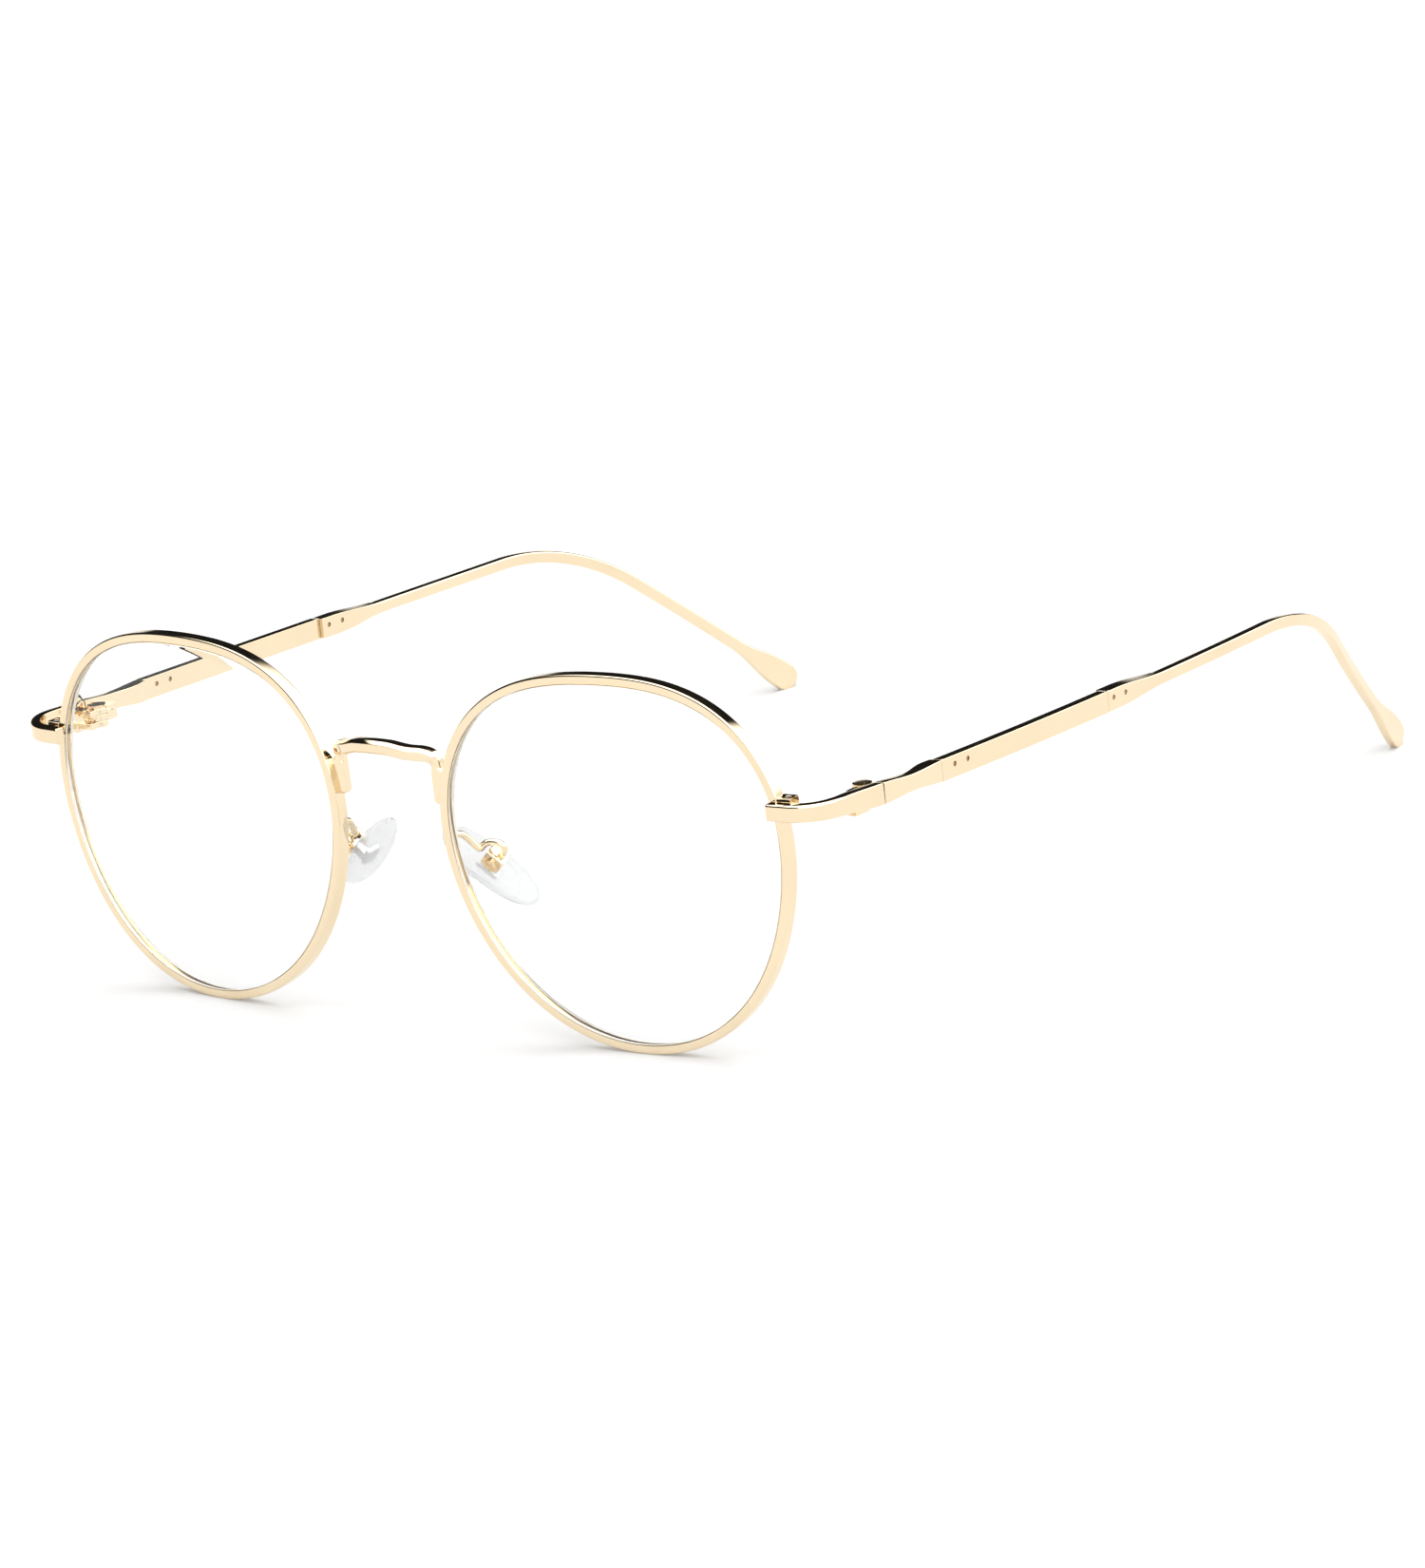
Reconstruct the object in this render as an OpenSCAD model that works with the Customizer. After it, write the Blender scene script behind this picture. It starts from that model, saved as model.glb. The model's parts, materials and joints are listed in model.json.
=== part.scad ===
// Round metal eyeglasses with adjustable nose pads and folding temples.
// +Z is up, the wearer looks along -Y and the wearer's left is +X.
// The glasses stand on z = 0 on the two rims and the two temple tips.

/* [Rims and lenses] */
// Mean radius of a rim's middle line
rim_mean_r = 25; // [24:0.1:25.4]
// Share of the outline that makes it wider than tall
rim_oval = 0.7; // [0.4:0.05:0.9]
// Share of the outline that lifts the shoulders and rounds the bottom
rim_panto = 0.9; // [0.6:0.05:1.1]
// Share of the outline that squares its diagonals
rim_square = 0.34; // [0.2:0.02:0.4]
// Distance from the middle plane to a rim's centre
rim_centre_x = 34.8; // [34.6:0.1:35.2]
// Angle by which each rim's outer side is swept back
rim_wrap = 4.8; // [4:0.1:5.5]
// Radial thickness of the rim wire
rim_wire = 1.2; // [1.1:0.05:1.3]
// Depth of the rim wire from front to back
rim_depth = 1.9; // [1.8:0.05:2]
// Thickness of a lens
lens_thickness = 1.6; // [1.4:0.1:1.8]
// Radius of a lens's front surface
lens_curve_r = 130; // [110:5:180]

/* [Bridge] */
// Height of the bridge bar's middle line where it meets the tabs
bridge_z = 36.95; // [36.8:0.05:37.3]
// Rise of the bridge bar between the tabs
bridge_rise = 1.4; // [0.8:0.05:1.6]
// Forward bow of the bridge bar between the tabs
bridge_bow = 2.7; // [1.5:0.1:3]
// Width of the bridge bar's section
bridge_bar = 1.7; // [1.5:0.05:1.8]

/* [End pieces and hinges] */
// Thickness of the end piece's bent strip
strip_thickness = 1.35; // [1.25:0.05:1.35]
// Radius of the strip's bend at its middle line
corner_r = 5.3; // [5:0.1:5.6]
// Distance from the middle plane to the strip's middle line at the hinge
joint_x = 66.7; // [66.5:0.1:67]
// Distance from the rims' centre plane back to the hinge line
joint_y = 13; // [12.8:0.1:13.4]
// Height of the strip's middle line at the hinge
joint_z = 32.66; // [32.5:0.02:32.8]
// Outer diameter of the hinge barrels
barrel_d = 2.6; // [2.4:0.1:2.6]
// Diameter of the hinge screw's shank
hinge_screw_d = 1.2; // [1.1:0.05:1.3]

/* [Temples] */
// Length along the temple from the hinge line to the ear bend
ear_bend_at = 85.2; // [84:0.2:87]
// Length of the ear bend
ear_bend_len = 25.3; // [24:0.1:27]
// Length of the tail behind the ear bend
tail_len = 32.4; // [31:0.1:33]
// Height of the temple blade
blade_h = 2.85; // [2.7:0.05:3]
// Thickness of the temple blade
blade_t = 1.35; // [1.25:0.05:1.4]
// Thickness of the wire that forms the rear of the temple
wire_t = 1.35; // [1.25:0.05:1.45]
// Height of the wire that forms the rear of the temple
wire_h = 1.65; // [1.5:0.05:1.8]
// Width of the spoon at the tip
spoon_h = 3.3; // [3:0.1:3.5]

/* [Nose pads] */
// Length of a nose pad
pad_len = 15; // [14:0.5:15.5]
// Width of a nose pad
pad_width = 7.2; // [6.8:0.1:7.6]
// Lean of the pads: their lower ends stand farther apart
pad_lean = 45; // [42:1:47]
// Sweep of the pads: their lower ends stand farther back
pad_sweep = 19; // [16:1:22]

/* [Hidden] */
left = 1;
right = -1;
gold = "#ecd2a0";
rim_plane_y = -69.52;  // the rims' centre plane lies this far ahead of the origin
solder_gap = 0.02;     // parts that are soldered together are drawn this far apart
small = 0.01;

// Rim outline: harmonics of one closed curve, measured from the outer side upwards.
rim_skew = -0.19;
rim_nasal = -0.19;
rim_steps = 72;
rim_settle = 0.02;       // the lowest point lies a little beside the middle
lock_angle = 18.3;
lock_gap_angle = 0.45;
groove_depth = 0.48;
groove_half = 0.4;
lens_clearance = 0.06;
lens_tongue = 0.56;
lens_tongue_r = 1.6;
lens_rest_r = 25.2;

// Closing blocks beside the split of each rim.
lock_low = 15.9;
lock_high = 20.8;
lock_reach = 27.1;
lock_screw_x = 26.25;
lock_screw_d = 0.8;
lock_head_d = 1.2;
lock_head_h = 0.3;
slot_w = 0.3;
slot_depth = 0.25;

// Bridge: a bar whose ends turn down into two tabs that hug the rims' inner sides.
bridge_half = 8;
bridge_y = -2;
tab_x = 8.1;
tab_y = -1.75;
tab_half = 0.6;
tab_top_z = 35.4;
tab_root_z = 34;
tab_inner_x = -27.5;
tab_front = -0.25;
tab_back = 0.93;
tab_low = 168.6;
tab_high = 161;

// End piece: a strip that starts in front of the rim and bends round to the hinge.
strip_start_x = 59;
strip_front_y = -1.73;
strip_front_z = 33.32;
strip_front_h = 2.2;
strip_joint_h = 2.8;
temple_splay = 1.1;

// Hinge: three barrels on one vertical axis behind the strip.
axis_x = 63.9;
hinge_z = 32.05;
barrel_h = 0.82;
barrel_gap = 0.03;
block_len = 2.8;
block_clear = 1.4;
leaf_x = 64.3;
leaf_drop = 0.5;
web_half = 0.9;
hinge_clearance = 0.04;
hinge_head_d = 2.5;
hinge_head_h = 0.45;

// Temple centre line: heading is the turn outwards, pitch is the climb.
heading_hinge = 1.1;
heading_bend = -3.3;
heading_tail = -22;
heading_tip = -13.4;
pitch_hinge = -2.45;
pitch_bend = -1.25;
pitch_tail = -39.5;
pitch_tip = -40.8;
temple_step = 0.4;
joint_gap = 0.12;
root_len = 11.6;
root_t = 1.35;
outer_face = 0.6;        // strip and temple end flush this far outside the centre line
blade_end = 47.2;
taper_start = 52.5;
taper_end = 60.5;
tongue_len = 7.6;
tongue_t = 0.5;
tongue_h = 2;
tongue_clearance = 0.05;
pin_places = [14.2, 16.9, 48.5, 51.2];
pin_height = 0.3;
pin_r = 0.28;
pin_bore_r = 0.33;
pin_recess = 0.12;
temple_total = ear_bend_at + ear_bend_len + tail_len;
spoon_start = temple_total - 12.5;

// Nose pad frame: X points away from the nose, Y backwards, Z up along the pad.
pad_centre = [10.1, 3.7, 21.05];
pad_splay = -2;
pad_back = 0.7;
pad_front = -1.35;
pivot_x = 1.8;
pivot_y = -0.9;
lug_t = 0.9;
plate_w = 1.8;
plate_l = 3.1;
plate_t = 0.6;
plate_y = -0.3;
lug_r = 0.8;
pad_screw_d = 0.8;
box_front = 1.05;
box_back = 3.1;
box_half_y = 1.25;
box_half_z = 1.3;
arm_d = 0.9;

// ---- helpers -------------------------------------------------------------

// Draws the left side as it is and the right side as its mirror image, in place.
module on_side(side) {
    translate([0, rim_plane_y, 0])
        if (side > 0) children();
        else mirror([1, 0, 0]) children();
}

// Skin over rings of points; caps lists the convex pieces of both end faces.
module skin(rings, caps) {
    count = len(rings[0]);
    last = (len(rings) - 1) * count;
    points = [for (ring = rings) each ring];
    sides = [
        for (i = [0 : count : last - count], j = [0 : count - 1])
            let (k = (j + 1) % count)
            each [[i + j, i + count + k, i + k], [i + j, i + count + j, i + count + k]]
    ];
    near_cap = [for (cap = caps) cap];
    far_cap = [for (cap = caps) [for (j = [len(cap) - 1 : -1 : 0]) last + cap[j]]];
    polyhedron(points, concat(near_cap, sides, far_cap));
}

// A list of the first count whole numbers, which caps a convex section.
function whole(count) = [[for (j = [0 : count - 1]) j]];

function unit(v) = v / norm(v);

// Smooth rise from 0 to 1 while x goes from a to b.
function rise(x, a, b) =
    let (t = max(0, min(1, (x - a) / (b - a))))
    t * t * (3 - 2 * t);

// Smooth bump that is 1 at its middle and 0 beyond its reach.
function bump(x, middle, reach) = rise(reach - abs(x - middle), 0, reach);

// Rectangle with cut corners: from -inner to outer across, half_h up and down.
function cut_rectangle(inner, outer, half_h, cut) = [
    [-inner, -half_h + cut], [-inner, half_h - cut], [-inner + cut, half_h],
    [outer - cut, half_h], [outer, half_h - cut], [outer, -half_h + cut],
    [outer - cut, -half_h], [-inner + cut, -half_h]
];

// Places a section's points at p, across and up.
function place(section, p, across, up) = [for (q = section) p + q[0] * across + q[1] * up];

// Rings of one section carried along a path of points.
function tube_rings(path, section) = [
    for (i = [0 : len(path) - 1])
        let (
            ahead = path[min(i + 1, len(path) - 1)],
            behind = path[max(i - 1, 0)],
            along = unit(ahead - behind),
            across = unit(cross(along, [0.2, 0.1, 1])),
            up = cross(along, across)
        )
        place(section, path[i], across, up)
];

// Point on a curve through four control points.
function curve_point(a, b, c, d, t) =
    pow(1 - t, 3) * a + 3 * t * pow(1 - t, 2) * b + 3 * t * t * (1 - t) * c + pow(t, 3) * d;

// ---- rims ----------------------------------------------------------------

function rim_r(a) =
    rim_mean_r + rim_oval * cos(2 * a) + rim_skew * sin(2 * a) + rim_nasal * cos(3 * a)
    + rim_panto * sin(3 * a) - rim_square * cos(4 * a);

rim_centre_z = rim_r(270) + rim_wire / 2 + rim_settle;

function rim_point(a) = rim_r(a) * [cos(a), 0, sin(a)];

function rim_out(a) =
    let (along = unit(rim_point(a + 1) - rim_point(a - 1)))
    [along[2], 0, -along[0]];

function rim_outline(inset) = [
    for (i = [0 : rim_steps - 1])
        let (p = rim_point(i * 360 / rim_steps) - inset * rim_out(i * 360 / rim_steps))
        [p[0], p[2]]
];

// Section of the rim wire with the lens groove on its inner side.
rim_section = let (w = rim_wire / 2, d = rim_depth / 2, g = groove_depth - rim_wire / 2) [
    [g, -0.28], [g, 0.28], [-w, groove_half], [-w, d - 0.25], [-w + 0.25, d], [w - 0.3, d],
    [w, d - 0.3], [w, -d + 0.3], [w - 0.3, -d], [-w + 0.25, -d], [-w, -d + 0.25], [-w, -groove_half]
];
rim_caps = [[1, 2, 3, 4, 5, 6], [0, 1, 6, 7], [0, 7, 8, 9, 10, 11]];

module rim_frame() {
    translate([rim_centre_x, 0, rim_centre_z])
        rotate([0, 0, rim_wrap])
        children();
}

module rim(side) {
    first = lock_angle + lock_gap_angle;
    span = 360 - 2 * lock_gap_angle;
    rings = [
        for (i = [0 : rim_steps])
            let (a = first + i * span / rim_steps)
            place(rim_section, rim_point(a), rim_out(a), [0, -1, 0])
    ];
    color(gold) on_side(side) rim_frame() skin(rings, rim_caps);
}

// ---- lenses --------------------------------------------------------------

module lens_plate(inset, thickness) {
    translate([0, thickness / 2, 0])
        rotate([90, 0, 0])
        linear_extrude(thickness)
        polygon(rim_outline(inset));
}

module lens(side) {
    body_inset = rim_wire / 2 + lens_clearance;
    tongue_inset = rim_wire / 2 - groove_depth + lens_clearance;
    middle_r = lens_curve_r - lens_thickness / 2;
    curve_y = sqrt(middle_r * middle_r - lens_rest_r * lens_rest_r);
    color("#eef3f6", 0.35) on_side(side) rim_frame() union() {
        intersection() {
            lens_plate(body_inset, 12);
            translate([0, curve_y, 0])
                difference() {
                    sphere(r = lens_curve_r, $fn = 240);
                    sphere(r = lens_curve_r - lens_thickness, $fn = 240);
                }
        }
        difference() {
            lens_plate(tongue_inset, lens_tongue);
            lens_plate(tongue_inset + lens_tongue_r, 2 * lens_tongue);
        }
    }
}

// ---- rim locks -----------------------------------------------------------

// Block that follows the rim's outer edge between two angles; split is its flat side.
module lock_block(low_angle, high_angle) {
    edge = rim_wire / 2 + solder_gap;
    steps = 4;
    inner = [
        for (i = [0 : steps])
            let (
                a = low_angle + i * (high_angle - low_angle) / steps,
                p = rim_point(a) + edge * rim_out(a)
            )
            [p[0], p[2]]
    ];
    low_z = inner[0][1];
    high_z = inner[steps][1];
    translate([0, rim_depth / 2, 0])
        rotate([90, 0, 0])
        linear_extrude(rim_depth)
        polygon(concat([[lock_reach, high_z], [lock_reach, low_z]], inner));
}

module lock_bore(r) {
    translate([lock_screw_x, 0, 0])
        cylinder(h = 20, r = r, $fn = 32);
}

module lock_upper(side) {
    color(gold) on_side(side) rim_frame() difference() {
        lock_block(lock_angle + 0.1, lock_high);
        lock_bore(lock_screw_d / 2 + 0.01);
    }
}

module lock_lower(side) {
    color(gold) on_side(side) rim_frame() difference() {
        lock_block(lock_low, lock_angle - 0.1);
        lock_bore(lock_screw_d / 2 + 0.03);
    }
}

module lock_screw(side) {
    foot_z = (rim_point(lock_low) + rim_wire / 2 * rim_out(lock_low))[2];
    top_z = (rim_point(lock_high) + rim_wire / 2 * rim_out(lock_high))[2];
    color("#d9c08c") on_side(side) rim_frame() translate([lock_screw_x, 0, foot_z])
        difference() {
            union() {
                translate([0, 0, -lock_head_h - small])
                    cylinder(h = lock_head_h, d = lock_head_d, $fn = 32);
                translate([0, 0, -2 * small])
                    cylinder(h = top_z - foot_z, d = lock_screw_d, $fn = 32);
            }
            translate([-lock_head_d, -slot_w / 2, -lock_head_h - 2 * small])
                cube([2 * lock_head_d, slot_w, slot_depth]);
        }
}

// ---- bridge --------------------------------------------------------------

// Point of the bridge bar, for x from one tab to the other.
function bar_point(x) =
    let (u = x / bridge_half, arch = 1 - u * u)
    [x, bridge_y - bridge_bow * arch, bridge_z + bridge_rise * arch];

// Tab whose outer side follows the rim.
module bridge_tab() {
    edge = rim_wire / 2 + solder_gap;
    steps = 4;
    outer = [
        for (i = [0 : steps])
            let (
                a = tab_high + i * (tab_low - tab_high) / steps,
                p = rim_point(a) + edge * rim_out(a)
            )
            [p[0], p[2]]
    ];
    low_z = outer[steps][1];
    high_z = outer[0][1];
    rim_frame()
        translate([0, tab_back, 0])
        rotate([90, 0, 0])
        linear_extrude(tab_back - tab_front)
        polygon(concat(outer, [
            [tab_inner_x + 0.5, low_z], [tab_inner_x + 0.1, low_z + 0.4], [tab_inner_x, high_z]
        ]));
}

module bridge() {
    bend = 1.5;
    corner = [
        for (t = [0 : 0.2 : 1])
            curve_point(
                [tab_x, tab_y, tab_top_z],
                [tab_x, tab_y, tab_top_z + 1.2],
                bar_point(bridge_half - 0.4),
                bar_point(bridge_half - bend),
                t
            )
    ];
    bar = [for (x = [bridge_half - bend - 0.8 : -0.8 : 0]) bar_point(x)];
    half_path = concat([[tab_x, tab_y, tab_root_z]], corner, bar, [bar_point(0)]);
    path = concat(
        half_path,
        [for (i = [len(half_path) - 2 : -1 : 0]) [-half_path[i][0], half_path[i][1], half_path[i][2]]]
    );
    last = len(path) - 1;
    rings = [
        for (i = [0 : last])
            let (
                along = unit(path[min(i + 1, last)] - path[max(i - 1, 0)]),
                depth_side = unit([0, 1, 0] - along[1] * along),
                flat = rise(path[i][2], tab_root_z + 0.6, tab_top_z + 0.8),
                half = tab_half + (bridge_bar / 2 - tab_half) * flat
            )
            place(cut_rectangle(half, half, half, 0.3), path[i], depth_side, cross(depth_side, along))
    ];
    color(gold) translate([0, rim_plane_y, 0]) union() {
        skin(rings, whole(8));
        bridge_tab();
        mirror([1, 0, 0]) bridge_tab();
    }
}

// ---- end pieces ----------------------------------------------------------

// Plan of the strip: straight along the rim, round the corner, straight to the hinge.
front_run = [cos(rim_wrap), sin(rim_wrap), 0];
side_run = [sin(temple_splay), cos(temple_splay), 0];
function front_line_y(x) = strip_front_y / cos(rim_wrap) + (x - rim_centre_x) * tan(rim_wrap);
strip_turn = 90 - rim_wrap - temple_splay;
corner_x = joint_x - (joint_y - 1.2) * tan(temple_splay);
corner_point = [corner_x, front_line_y(corner_x), 0];
corner_reach = corner_r * tan(strip_turn / 2);
arc_start = corner_point - corner_reach * front_run;
arc_centre = arc_start + corner_r * [-sin(rim_wrap), cos(rim_wrap), 0];

function strip_z(t) = strip_front_z + (joint_z - strip_front_z) * rise(t, 0.45, 1.1) / rise(1, 0.45, 1.1);
function strip_h(t) = strip_front_h + (strip_joint_h - strip_front_h) * rise(t, 0.2, 1);

function strip_ring(plan, along, t) =
    let (out = [along[1], -along[0], 0])
    place(
        cut_rectangle(strip_thickness - outer_face, outer_face, strip_h(t) / 2, 0.16),
        [plan[0], plan[1], strip_z(t)], out, [0, 0, 1]
    );

module end_piece(side) {
    arc_steps = 9;
    start = [strip_start_x, front_line_y(strip_start_x), 0];
    finish = [joint_x, joint_y, 0] - joint_gap / 2 * side_run;
    arc_share = 0.55;
    start_share = 0.15;
    rings = concat(
        [strip_ring(start, front_run, 0)],
        [
            for (i = [0 : arc_steps])
                let (
                    turn = rim_wrap + i * strip_turn / arc_steps,
                    along = [cos(turn), sin(turn), 0]
                )
                strip_ring(
                    arc_centre + corner_r * [sin(turn), -cos(turn), 0], along,
                    start_share + (arc_share - start_share) * i / arc_steps
                )
        ],
        [
            for (i = [1 : 4])
                strip_ring(
                    arc_centre + corner_r * [side_run[1], -side_run[0], 0]
                    + (finish - arc_centre) * side_run * i / 4 * side_run,
                    side_run, arc_share + (1 - arc_share) * i / 4
                )
        ]
    );
    color(gold) on_side(side) skin(rings, whole(8));
}

// ---- hinges --------------------------------------------------------------

hinge_low_z = hinge_z - 1.5 * barrel_h - barrel_gap;
hinge_high_z = hinge_z + 1.5 * barrel_h + barrel_gap;

module barrel(z) {
    translate([axis_x, joint_y, z])
        cylinder(h = barrel_h, d = barrel_d, $fn = 48);
}

// Leaf soldered to the strip; toward is -1 for the front half and 1 for the rear.
module hinge_leaf(toward, face_x) {
    low_y = toward > 0 ? joint_y + block_clear : joint_y - block_clear - block_len;
    translate([leaf_x, low_y, hinge_low_z])
        cube([face_x - leaf_x, block_len, hinge_high_z - hinge_low_z - leaf_drop]);
}

// Web that joins a barrel to its leaf.
module barrel_web(z, toward) {
    reach = block_clear + web_half;
    translate([axis_x - web_half, toward > 0 ? joint_y : joint_y - reach, z])
        cube([leaf_x - axis_x + web_half + 0.2, reach, barrel_h]);
}

module hinge_bore(r) {
    translate([axis_x, joint_y, hinge_low_z - 1])
        cylinder(h = hinge_high_z - hinge_low_z + 2, r = r, $fn = 48);
}

// The hinge follows the strip, which runs outwards by the splay angle.
module along_strip() {
    translate([joint_x, joint_y, 0])
        rotate([0, 0, -temple_splay])
        translate([-joint_x, -joint_y, 0])
        children();
}

module hinge_front(side) {
    color(gold) on_side(side) along_strip() difference() {
        union() {
            hinge_leaf(-1, joint_x + outer_face - strip_thickness - solder_gap);
            for (z = [hinge_low_z, hinge_high_z - barrel_h]) {
                barrel(z);
                barrel_web(z, -1);
            }
        }
        hinge_bore(hinge_screw_d / 2 + 0.01);
    }
}

module hinge_rear(side) {
    color(gold) on_side(side) along_strip() difference() {
        union() {
            hinge_leaf(1, joint_x + outer_face - root_t - solder_gap);
            barrel(hinge_z - barrel_h / 2);
            barrel_web(hinge_z - barrel_h / 2, 1);
        }
        hinge_bore(hinge_screw_d / 2 + hinge_clearance);
    }
}

module hinge_screw(side) {
    color("#d9c08c") on_side(side) along_strip() translate([axis_x, joint_y, 0]) difference() {
        union() {
            translate([0, 0, hinge_low_z])
                cylinder(h = hinge_high_z - hinge_low_z + 2 * small, d = hinge_screw_d, $fn = 48);
            translate([0, 0, hinge_high_z + small])
                cylinder(h = hinge_head_h, d = hinge_head_d, $fn = 48);
        }
        translate([-hinge_head_d, -slot_w / 2, hinge_high_z + hinge_head_h - slot_depth])
            cube([2 * hinge_head_d, slot_w, 1]);
    }
}

// ---- temples -------------------------------------------------------------

// Value that goes from a at the hinge to b at the ear bend, c behind it and d at the tip.
function along_temple(s, a, b, c, d) =
    s < ear_bend_at ? a + (b - a) * s / ear_bend_at
    : s < ear_bend_at + ear_bend_len ? b + (c - b) * (s - ear_bend_at) / ear_bend_len
    : c + (d - c) * (s - ear_bend_at - ear_bend_len) / tail_len;

function temple_heading(s) =
    along_temple(s, heading_hinge, heading_bend, heading_tail, heading_tip);
function temple_pitch(s) = along_temple(s, pitch_hinge, pitch_bend, pitch_tail, pitch_tip);
function temple_along(s) =
    let (h = temple_heading(s), p = temple_pitch(s))
    [sin(h) * cos(p), cos(h) * cos(p), sin(p)];

// The centre line, stepped from the hinge to the tip.
temple_line = [
    for (
        i = 0, p = [joint_x, joint_y, joint_z];
        i <= temple_total / temple_step + 1;
        p = p + temple_step * temple_along((i + 0.5) * temple_step), i = i + 1
    ) p
];

function temple_point(s) =
    let (i = floor(s / temple_step), t = s / temple_step - i)
    temple_line[i] * (1 - t) + temple_line[i + 1] * t;

function temple_ring(s, inner, outer, half_h, cut) =
    let (
        along = temple_along(s),
        out = unit(cross(along, [0, 0, 1]))
    )
    place(cut_rectangle(inner, outer, half_h, cut), temple_point(s), out, cross(out, along));

// Local frame at a place along the temple: X outwards, Y back along it, Z up.
module temple_frame(s) {
    translate(temple_point(s))
        rotate([0, 0, -temple_heading(s)])
        rotate([temple_pitch(s), 0, 0])
        children();
}

module pin_bores(places, r) {
    for (s = places)
        temple_frame(s)
            translate([-3, 0, pin_height])
            rotate([0, 90, 0])
            cylinder(h = 6, r = r, $fn = 24);
}

// Cast front part of the temple, which carries the rear half of the hinge.
function root_h(s) = 2.8 - 0.62 * bump(s, 6, 6.4);
function root_inner(s) = root_t - outer_face + 0.7 * bump(s, 9.4, 4.2);

module temple_root(side) {
    rings = [
        for (s = [joint_gap / 2, each [1 : 0.8 : 10.6], root_len])
            temple_ring(s, root_inner(s), outer_face, root_h(s) / 2, 0.16)
    ];
    color(gold) on_side(side) difference() {
        union() {
            skin(rings, whole(8));
            temple_frame(root_len)
                translate([-tongue_t / 2, -0.3, -tongue_h / 2])
                cube([tongue_t, tongue_len + 0.3, tongue_h]);
        }
        pin_bores([pin_places[0], pin_places[1]], pin_bore_r);
    }
}

// Long flat blade between the root and the tail.
module temple_blade(side) {
    start = root_len + joint_gap;
    rings = [
        for (s = [start : (blade_end - start) / 10 : blade_end + small])
            temple_ring(s, blade_t - outer_face, outer_face, blade_h / 2, 0.12)
    ];
    color(gold) on_side(side) difference() {
        union() {
            skin(rings, whole(8));
            temple_frame(blade_end)
                translate([-tongue_t / 2, -0.3, -tongue_h / 2])
                cube([tongue_t, tongue_len + 0.3, tongue_h]);
        }
        temple_frame(root_len)
            translate([-tongue_t / 2 - tongue_clearance, 0, -tongue_h / 2 - tongue_clearance])
            cube([tongue_t + 2 * tongue_clearance, tongue_len + 0.4, tongue_h + 2 * tongue_clearance]);
        pin_bores(pin_places, pin_bore_r);
    }
}

// Tail: grips the blade, tapers to a wire, bends behind the ear and ends in a spoon.
function tail_h(s) =
    blade_h - 0.05 + (wire_h - blade_h + 0.05) * rise(s, taper_start - 3, taper_end)
    + (spoon_h - wire_h) * rise(s, spoon_start, temple_total - 4.5)
    - (spoon_h - 1.3) * pow(max(0, (s - temple_total + 3.2) / 3.2), 2.2);
function tail_t(s) =
    1.9 + (wire_t - 1.9) * rise(s, taper_start, taper_end)
    - 0.1 * rise(s, spoon_start, temple_total - 4);

module temple_tail(side) {
    start = blade_end + joint_gap;
    stations = [
        start, each [49 : 2 : taper_start - 1], each [taper_start : 1.6 : taper_end],
        each [66 : 6 : ear_bend_at - 1], each [ear_bend_at : 2.3 : ear_bend_at + ear_bend_len],
        each [ear_bend_at + ear_bend_len + 2 : 4 : spoon_start - 1],
        each [spoon_start : 1.6 : temple_total - 4], each [temple_total - 3.2 : 0.8 : temple_total - small]
    ];
    rings = [
        for (s = stations)
            let (half_h = tail_h(s) / 2, t = tail_t(s))
            temple_ring(s, t - outer_face, outer_face, half_h, 0.14 + 0.16 * rise(s, taper_start, taper_end))
    ];
    color(gold) on_side(side) difference() {
        skin(rings, whole(8));
        temple_frame(blade_end)
            translate([-tongue_t / 2 - tongue_clearance, 0, -tongue_h / 2 - tongue_clearance])
            cube([tongue_t + 2 * tongue_clearance, tongue_len + 0.4, tongue_h + 2 * tongue_clearance]);
        pin_bores([pin_places[2], pin_places[3]], pin_bore_r);
    }
}

module temple_pins(side) {
    color("#b89a63") on_side(side)
        for (s = pin_places) {
            inner = (s < blade_end ? blade_t : tail_t(s)) - outer_face;
            temple_frame(s)
                translate([-inner + pin_recess, 0, pin_height])
                rotate([0, 90, 0])
                cylinder(h = inner + outer_face - 2 * pin_recess, r = pin_r, $fn = 24);
        }
}

// ---- nose pads -----------------------------------------------------------

module pad_frame() {
    translate(pad_centre)
        rotate([0, -pad_lean, 0])
        rotate([0, 0, -pad_splay])
        rotate([pad_sweep, 0, 0])
        children();
}

// Oval outline of the pad, scaled about its middle.
function pad_ring(x, share) = [
    for (a = [0 : 15 : 345])
        let (c = cos(a), s = sin(a))
        [
            x,
            share * pad_width / 2 * sign(c) * pow(abs(c), 0.87),
            share * pad_len / 2 * sign(s) * pow(abs(s), 0.87)
        ]
];

// Flat plate inside the pad, grown all round for its pocket.
module insert_plate(grow) {
    translate([-plate_t - grow, plate_y - plate_w / 2 - grow, -plate_l / 2 - grow])
        cube([plate_t + 2 * grow, plate_w + 2 * grow, plate_l + 2 * grow]);
}

module nose_pad(side) {
    rings = [
        pad_ring(pad_front, 0.55), pad_ring(pad_front + 0.25, 0.78), pad_ring(pad_front + 0.65, 0.93),
        pad_ring(pad_front + 1.1, 1), pad_ring(pad_back - 0.45, 0.98), pad_ring(pad_back, 0.86)
    ];
    color("#f4f6f7", 0.6) on_side(side) pad_frame() difference() {
        skin(rings, whole(24));
        insert_plate(0.05);
        translate([-0.15, pivot_y - 0.6, -0.85])
            cube([2, 1.2, 1.7]);
    }
}

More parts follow.
